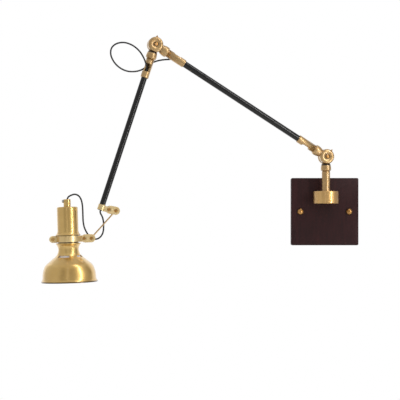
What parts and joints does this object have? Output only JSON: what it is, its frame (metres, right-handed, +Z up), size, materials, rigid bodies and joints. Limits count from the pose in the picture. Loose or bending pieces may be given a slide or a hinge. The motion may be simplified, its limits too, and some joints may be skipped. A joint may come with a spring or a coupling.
{
  "type": "articulating wall lamp",
  "caption": "Jointed wall lamp: square wooden plate, swivelling brass post, black tubular arms on friction knuckles, link rod and a bell-shaped brass shade.",
  "frame": {"origin": "centre of the two wall screws, in the plane of the wall plate's back", "axes": "+X to the right seen from the room, +Y into the wall, +Z up"},
  "size_m": [0.5964, 0.2025, 0.4578],
  "materials": {
    "wood": "dark stained and satin lacquered",
    "brass": "turned or spun, polished and lacquered",
    "black_tube": "black gloss paint on steel tube",
    "steel": "zinc plated",
    "aluminium": "pressed",
    "block_plastic": "moulded",
    "holder_plastic": "moulded heat-resistant insulator",
    "fibre": "pressed fibre",
    "rubber": "moulded",
    "cord_sheath": "smooth black flexible sheath",
    "opal_glass": "opal"
  },
  "bodies": {
    "wall_plate": {"wall_plate": "wood", "wall_bracket": "steel", "bracket_studs": "steel", "dome_nuts": "brass", "terminal_block": "block_plastic", "terminal_screws": "steel", "earth_screw": "brass", "swivel_base": "brass", "base_cap": "brass", "base_nipple": "steel", "nipple_nut": "steel"},
    "post": {"post": "brass", "post_washer": "steel", "post_nut": "steel", "post_knuckle": "brass"},
    "upper_arm": {"upper_arm_lower_knuckle": "brass", "upper_arm_upper_knuckle": "brass", "upper_arm_tube": "black_tube", "knuckle_bolts": "steel", "knuckle_nuts": "steel", "knuckle_washers": "fibre", "lock_screws": "steel", "upper_arm_flex": "cord_sheath"},
    "forearm": {"forearm_knuckle": "brass", "forearm_tube": "black_tube", "forearm_grommet": "rubber", "forearm_flex": "cord_sheath", "forearm_clamp": "brass", "forearm_clamp_screws": "brass", "forearm_clamp_nuts": "brass", "elbow_cord": "cord_sheath", "link_cord_upper": "cord_sheath"},
    "link_rod": {"link_rod": "brass", "link_cord_lower": "cord_sheath"},
    "lamp_head": {"head_strap_front": "brass", "head_strap_rear": "brass", "head_strap_screws": "brass", "head_strap_nuts": "brass", "strap_ear_screw": "brass", "shade": "brass", "holder_cover": "brass", "cord_gland": "brass", "gland_screw": "steel", "holder_nipple": "steel", "lampholder": "holder_plastic", "lampholder_shell": "brass", "lampholder_contact": "brass", "bulb": "opal_glass", "bulb_cap": "aluminium", "head_cord": "cord_sheath"}
  },
  "joints": [
    {"name": "post_swivel", "type": "hinge", "parent": "wall_plate", "child": "post", "pos_m": [0, -0.04, 0], "axis": [0, 0, 1], "range_deg": [-8, 162]},
    {"name": "lower_knuckle", "type": "hinge", "parent": "post", "child": "upper_arm", "pos_m": [0, -0.04, 0.105], "axis": [-0.225, 0.9744, 0], "range_deg": [-55, 60]},
    {"name": "elbow", "type": "hinge", "parent": "upper_arm", "child": "forearm", "pos_m": [-0.32435, -0.11488, 0.30819], "axis": [-0.225, 0.9744, 0], "range_deg": [-15, 100], "deforming": ["elbow_cord"]},
    {"name": "link_pivot", "type": "hinge", "parent": "forearm", "child": "link_rod", "pos_m": [-0.39667, -0.13158, 0.00012], "axis": [-0.225, 0.9744, 0], "range_deg": [-60, 30], "deforming": ["link_cord_upper"]},
    {"name": "head_pivot", "type": "hinge", "parent": "link_rod", "child": "lamp_head", "pos_m": [-0.4411, -0.14183, -0.05034], "axis": [-0.225, 0.9744, 0], "range_deg": [-75, 30], "deforming": ["link_cord_lower", "head_cord"]}
  ]
}
